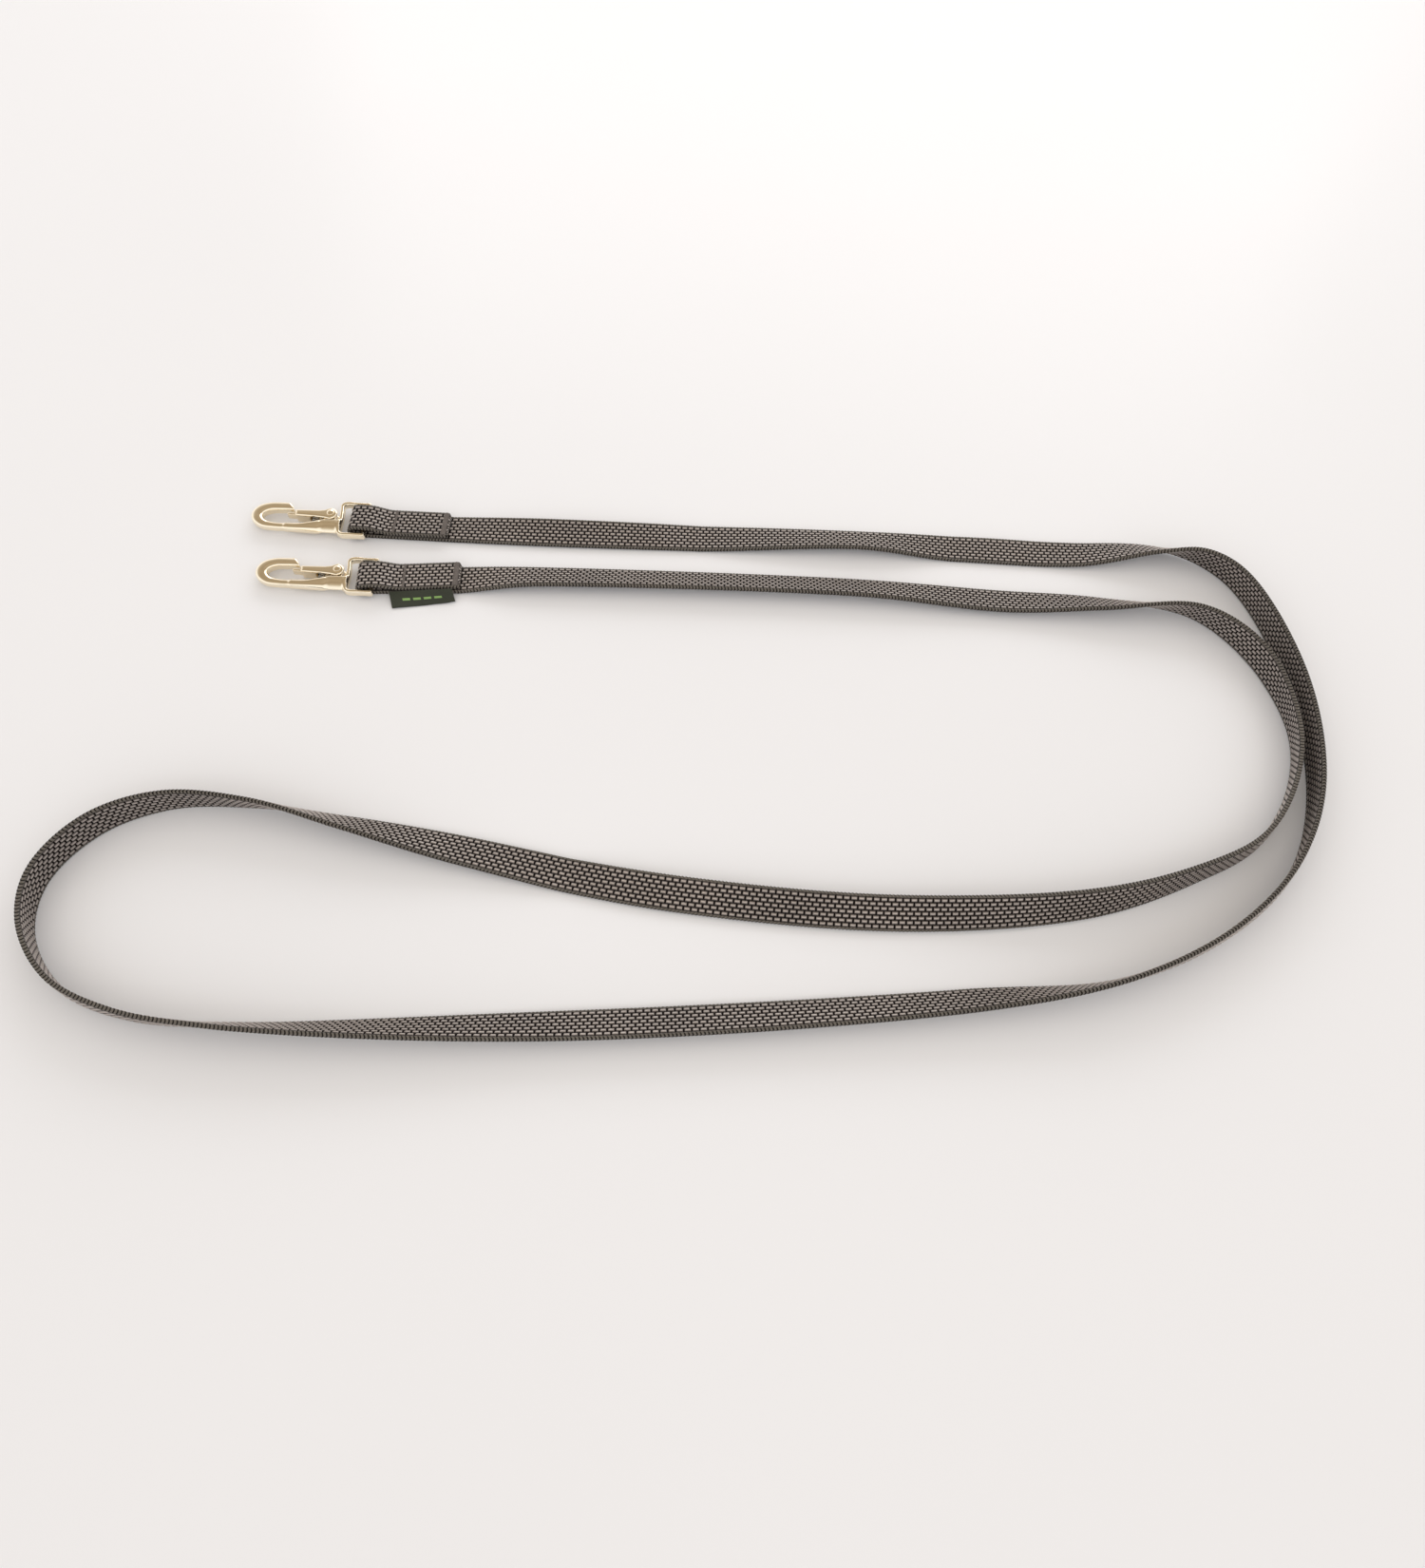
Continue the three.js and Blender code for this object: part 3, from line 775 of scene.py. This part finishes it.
HORN = [
    (-19.0, -5.2, 1.5, 1.7),
    (-25.0, -5.3, 1.45, 1.6),
    (-31.0, -5.35, 1.4, 1.55),
    (-36.5, -5.35, 1.45, 1.65),
    (-41.0, -4.5, 1.85, 1.8),
    (-43.7, -2.2, 2.3, 1.95),
    (-44.3, 0.2, 2.45, 2.0),
    (-43.1, 2.5, 2.35, 2.05),
    (-39.8, 4.2, 2.1, 2.05),
    (-35.0, 4.7, 2.05, 2.0),
    (-31.0, 4.75, 2.0, 2.0),
    (-27.0, 4.75, 2.0, 2.0),
]
BROAD = [(-31, -7.6), (-31, -5.2), (-24.6, -4.7), (-19.5, -3.1), (-16.2, -1.9),
         (-9.6, -1.7), (-9.6, -7.6)]
EYE = [
    (0.5, 8.0, 0.8, 1.5),
    (-4.0, 8.0, 0.8, 1.5),
    (-9.0, 8.0, 0.85, 1.5),
    (-10.3, 7.1, 0.85, 1.5),
    (-10.1, 4.0, 0.85, 1.5),
    (-9.75, 0.0, 0.85, 1.5),
    (-9.75, -4.0, 0.85, 1.5),
    (-9.6, -7.0, 0.85, 1.5),
    (-8.4, -7.95, 0.8, 1.5),
    (-4.0, -8.0, 0.8, 1.5),
    (0.5, -8.0, 0.8, 1.5),
]


def pin_hole(x, y):
    return np.hypot(x - PIN_X, y - PIN_Y) - PIN_HOLE


def spring_pocket(x, z, room=0.0):
    """Room is extra space on the side away from the pin, where the gate's wall swings in."""
    return np.hypot(x - SPRING_X + room, z) - POCKET - room


def spine_limit(x, y, z):
    """The spine's outer side is round near the horn and a steep slope near the eye."""
    share = np.clip((x + 31) / 14, 0, 1)
    share = share * share * (3 - 2 * share)
    middle, reach, tall = -5.4 + 1.9 * share, 0.9 + 2.8 * share, 0.9 + 1.6 * share
    power = 2 - 0.65 * share
    low = np.maximum(middle - y, 0) / reach
    return ((low ** power + (np.abs(z) / tall) ** power) ** (1 / power) - 1) * tall


def hook_field(x, y, z):
    horn = bar_along(x, y, z, HORN, 3.0)
    slant = ((x + 32) * 4.8 + (y - 7) * 3.0) / math.hypot(4.8, 3.0)
    nose = smooth_max(smooth_max(horn, slant, 0.7), x + 28.5, 0.6)
    arm = np.where(y > -2.5, nose, horn)
    broad = slab(polygon(x, y, BROAD), z, 2.5, 0.45)
    broad = smooth_max(broad, spine_limit(x, y, z), 0.6)
    body = smooth_min(arm, broad, 2.0)
    body = smooth_min(body, bar_along(x, y, z, EYE, 3.2), 0.9)
    lug = polygon(x, y, [(PIN_X - LUG, -2.6), (PIN_X - LUG, PIN_Y), (PIN_X + LUG, PIN_Y),
                         (PIN_X + LUG, -2.6)])
    lug = np.minimum(lug, np.hypot(x - PIN_X, y - PIN_Y) - LUG)
    body = smooth_min(body, slab(lug, z, 1.4, 0.3), 0.5)
    far_bar = np.maximum(np.hypot(x, z) - FAR_BAR, np.abs(y) - EYE_HALF)
    body = smooth_min(body, far_bar, 0.5)
    pocket = np.maximum(spring_pocket(x, z), -5.5 - y)
    body = smooth_max(body, -pocket, 0.35)
    return smooth_max(body, -pin_hole(x, y), 0.3)


def gate_field(x, y, z):
    bar = polygon(x, y, [(-14, -1.3), (-20, -0.8), (-28.1, -0.5), (-28.8, 2.4), (-19, 2.75),
                         (-14, 3.6)])
    hub = np.hypot(x - PIN_X, y - PIN_Y) - HUB
    outline = smooth_min(bar, hub, 1.0)
    gate = slab(outline, z, 2.6, 0.9)
    tongue = slab(polygon(x, y, [(-32, 0.4), (-32, 1.3), (-27, 1.45), (-27, 0.0)]), z, 1.4, 0.3)
    gate = smooth_min(gate, tongue, 0.4)
    fork = np.maximum(np.abs(z) - 1.7, -16.7 - x)
    gate = smooth_max(gate, -fork, 0.3)
    pocket = np.maximum(spring_pocket(x, z, 0.3), y - 1.2)
    gate = smooth_max(gate, -pocket, 0.3)
    return smooth_max(gate, -pin_hole(x, y), 0.3)


CUBE = [(i, j, k) for i in (0, 1) for j in (0, 1) for k in (0, 1)]
CUBE_EDGES = [(a, b) for a in range(8) for b in range(a + 1, 8)
              if sum(abs(p - q) for p, q in zip(CUBE[a], CUBE[b])) == 1]


def surface_of(field, low, high, step):
    """Vertices and quads where the field is zero, one vertex to each cell that it crosses."""
    axes = [np.arange(a, b + step, step) for a, b in zip(low, high)]
    values = field(*np.meshgrid(*axes, indexing="ij"))
    inside = values < 0
    shape = [n - 1 for n in values.shape]
    count = sum(inside[i:i + shape[0], j:j + shape[1], k:k + shape[2]].astype(int)
                for i, j, k in CUBE)
    cells = np.argwhere((count > 0) & (count < 8))
    number = -np.ones(shape, int)
    number[tuple(cells.T)] = np.arange(len(cells))
    corner = np.stack([values[tuple((cells + c).T)] for c in CUBE], 1)
    total, hits = np.zeros((len(cells), 3)), np.zeros(len(cells))
    for a, b in CUBE_EDGES:
        va, vb = corner[:, a], corner[:, b]
        cut = (va < 0) != (vb < 0)
        share = np.where(cut, va / np.where(cut, va - vb, 1), 0)[:, None]
        at = np.array(CUBE[a]) * (1 - share) + np.array(CUBE[b]) * share
        total += np.where(cut[:, None], at, 0)
        hits += cut
    verts = np.array(low) + (cells + total / hits[:, None]) * step
    quads = []
    for axis in range(3):
        u, v = (axis + 1) % 3, (axis + 2) % 3
        here = np.moveaxis(inside, axis, 0)
        change = np.argwhere(here[:-1] != here[1:])
        points = np.empty_like(change)
        rest = [k for k in range(3) if k != axis]
        points[:, axis] = change[:, 0]
        points[:, rest[0]], points[:, rest[1]] = change[:, 1], change[:, 2]
        ring = []
        for du, dv in ((0, 0), (1, 0), (1, 1), (0, 1)):
            cell = points.copy()
            cell[:, u] -= du
            cell[:, v] -= dv
            ring.append(number[tuple(cell.T)])
        ring = np.stack(ring, 1)
        starts_inside = inside[tuple(points.T)]
        ring[~starts_inside] = ring[~starts_inside][:, ::-1]
        quads.append(ring)
    # Each vertex then moves onto the surface itself, by at most half a cell at a time.
    reach, small, rounds = step * 0.5, 0.01, 4
    for _ in range(rounds):
        value = field(*verts.T)
        slope = np.stack([
            (field(*(verts + d).T) - field(*(verts - d).T)) / (2 * small)
            for d in np.eye(3) * small], 1)
        move = value[:, None] * slope / np.maximum((slope ** 2).sum(1), 0.05)[:, None]
        size = np.linalg.norm(move, axis=1)[:, None]
        verts -= move * np.minimum(1, reach / np.maximum(size, 1e-9))
    return verts, np.concatenate(quads)


def lathe(profile, sides):
    """A closed body turned about z from a profile of radius and height."""
    verts, faces = [], []
    inner = profile[1:-1]
    for r, z in inner:
        for k in range(sides):
            a = 2 * math.pi * k / sides
            verts.append((r * math.cos(a), r * math.sin(a), z))
    for row in range(len(inner) - 1):
        for k in range(sides):
            nxt = (k + 1) % sides
            faces.append([row * sides + k, row * sides + nxt, (row + 1) * sides + nxt,
                          (row + 1) * sides + k])
    low, high = len(verts), len(verts) + 1
    verts += [(0, 0, profile[0][1]), (0, 0, profile[-1][1])]
    top = (len(inner) - 1) * sides
    for k in range(sides):
        nxt = (k + 1) % sides
        faces.append([low, nxt, k])
        faces.append([high, top + k, top + nxt])
    return np.array(verts, float), faces


def pin_profile():
    """A rivet with domed heads. It runs from one head's middle to the other's."""
    head, neck, start, rise, rim = 1.5, 0.85, 2.65, 0.55, 0.12
    dome = [(head * math.sin(a), start + rim + (rise - rim) * math.cos(a))
            for a in np.linspace(0, math.pi / 2, 12)]
    upper = [(neck, start - 0.4), (neck, start - 0.03), (head - rim, start),
             (head, start + rim / 2), *dome[::-1]]
    lower = [(r, -z) for r, z in reversed(upper)]
    return lower + upper


def spring_points():
    turns = 5.5
    t = np.linspace(0, 1, 220)
    low, high = SPRING_LOW + SPRING_WIRE, SPRING_HIGH - SPRING_WIRE
    # The end turns lie flat against each other, as on a wound spring.
    climb = np.interp(t, [0, 0.13, 0.87, 1], [0, 0.05, 0.95, 1])
    angle = 2 * math.pi * turns * t
    return np.column_stack([SPRING_X + COIL_RADIUS * np.cos(angle), low + (high - low) * climb,
                            COIL_RADIUS * np.sin(angle)])


# Each field is sampled in a box a little larger than its shape. The last number is the cell.
HOOK_SHAPE = surface_of(hook_field, (-48.2, -10.2, -4.2), (3.2, 10.2, 4.2), 0.27)
GATE_SHAPE = surface_of(gate_field, (-33.4, -3.4, -4.0), (-9.6, 6.0, 4.0), 0.22)
PIN_SHAPE = lathe(pin_profile(), 40)


def make_hook(name, end):
    matrix = hook_matrix(end)
    body = f"hook_{name}"

    def part(label, shape, on, slot, material, node, uvs=None):
        verts = moved(matrix, np.asarray(shape[0]) * MM)
        piece = mesh_object(label, verts, shape[1], uvs)
        return finish_piece(piece, on, slot, material, node)

    part(f"cast_hook_{name}", HOOK_SHAPE, body, "hook_metal", HOOK_METAL, f"hook_body_{name}")
    part(f"gate_lever_{name}", GATE_SHAPE, f"gate_{name}", "gate_metal", GATE_METAL,
         f"gate_{name}")
    pin = PIN_SHAPE[0] + np.array([PIN_X, PIN_Y, 0])
    part(f"rivet_{name}", (pin, PIN_SHAPE[1]), body, "pin_metal", PIN_METAL,
         f"gate_pin_{name}")
    verts, faces, _ = thread_tube(spring_points(), SPRING_WIRE, 10)
    coil = part(f"coil_{name}", (verts, faces), body, "spring_steel", SPRING_STEEL,
                f"gate_spring_{name}")
    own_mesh(coil)


for key, end in ENDS.items():
    make_hook(key, end)

# --- Table and light -------------------------------------------------------------------------


def table_material():
    n = Nodes("table")
    place = n.place()
    cloud = n.noise(place, 2.2, 2.0)
    n.put(Base_Color=n.mix(cloud, (0.825, 0.821, 0.842, 1), (0.865, 0.864, 0.888, 1)))
    n.put(Roughness=n.spread(n.noise(place, 9, 2.0), 0.28, 0.34), Specular_IOR_Level=0.22)
    return n.material


def make_table():
    half = 3.0
    verts = [(-half, -half, 0), (half, -half, 0), (half, half, 0), (-half, half, 0)]
    table = mesh_object("table_top", verts, [[0, 1, 2, 3]])
    table.location = (0.15, -0.1, 0)
    table.data.materials.append(table_material())


def make_light(name, place, aim, size, power, color, mirrored=True):
    data = bpy.data.lights.new(name, "AREA")
    data.shape = "RECTANGLE"
    data.size, data.size_y = size
    data.energy = power
    data.color = color
    light = bpy.data.objects.new(name, data)
    bpy.context.scene.collection.objects.link(light)
    light.location = place
    way = Vector(aim) - Vector(place)
    light.rotation_euler = way.to_track_quat("-Z", "Y").to_euler()
    light.visible_glossy = mirrored


def make_world():
    """A bright room all round, with a dimmer patch of ceiling over the table."""
    world = bpy.data.worlds.new("studio")
    bpy.context.scene.world = world
    world.use_nodes = True
    tree = world.node_tree
    sky = tree.nodes["Background"]
    coordinates = tree.nodes.new("ShaderNodeTexCoord")
    toward = tree.nodes.new("ShaderNodeVectorMath")
    toward.operation = "DOT_PRODUCT"
    toward.inputs[1].default_value = (-0.05, 0.12, 0.99)  # the middle of the dimmer patch
    shift = tree.nodes.new("ShaderNodeMapRange")
    shift.inputs["From Min"].default_value = -1.0
    ramp = tree.nodes.new("ShaderNodeValToRGB")
    tree.links.new(coordinates.outputs["Generated"], toward.inputs[0])
    tree.links.new(toward.outputs["Value"], shift.inputs["Value"])
    tree.links.new(shift.outputs[0], ramp.inputs[0])
    tree.links.new(ramp.outputs[0], sky.inputs["Color"])
    stops = ramp.color_ramp.elements
    stops[0].position, stops[0].color = 0.62, (1.0, 0.995, 0.995, 1)
    stops[1].position, stops[1].color = 1.0, (0.42, 0.345, 0.25, 1)
    for place, color in ((0.76, (0.95, 0.94, 0.935, 1)), (0.82, (0.80, 0.775, 0.74, 1)),
                         (0.87, (0.47, 0.40, 0.31, 1)), (0.93, (0.33, 0.265, 0.185, 1))):
        stop = stops.new(place)
        stop.color = color
    sky.inputs["Strength"].default_value = 1.12


make_table()
make_light("window", place=(0.25, 1.05, 0.62), aim=(0.15, -0.08, 0), size=(1.3, 0.5),
           power=4.0, color=(0.97, 0.985, 1.0))
make_light("fill", place=(0.15, -0.15, 1.2), aim=(0.15, -0.1, 0), size=(2.4, 2.4),
           power=8.2, color=(0.94, 0.97, 1.0), mirrored=False)
make_world()
bpy.context.scene.view_settings.view_transform = "Standard"
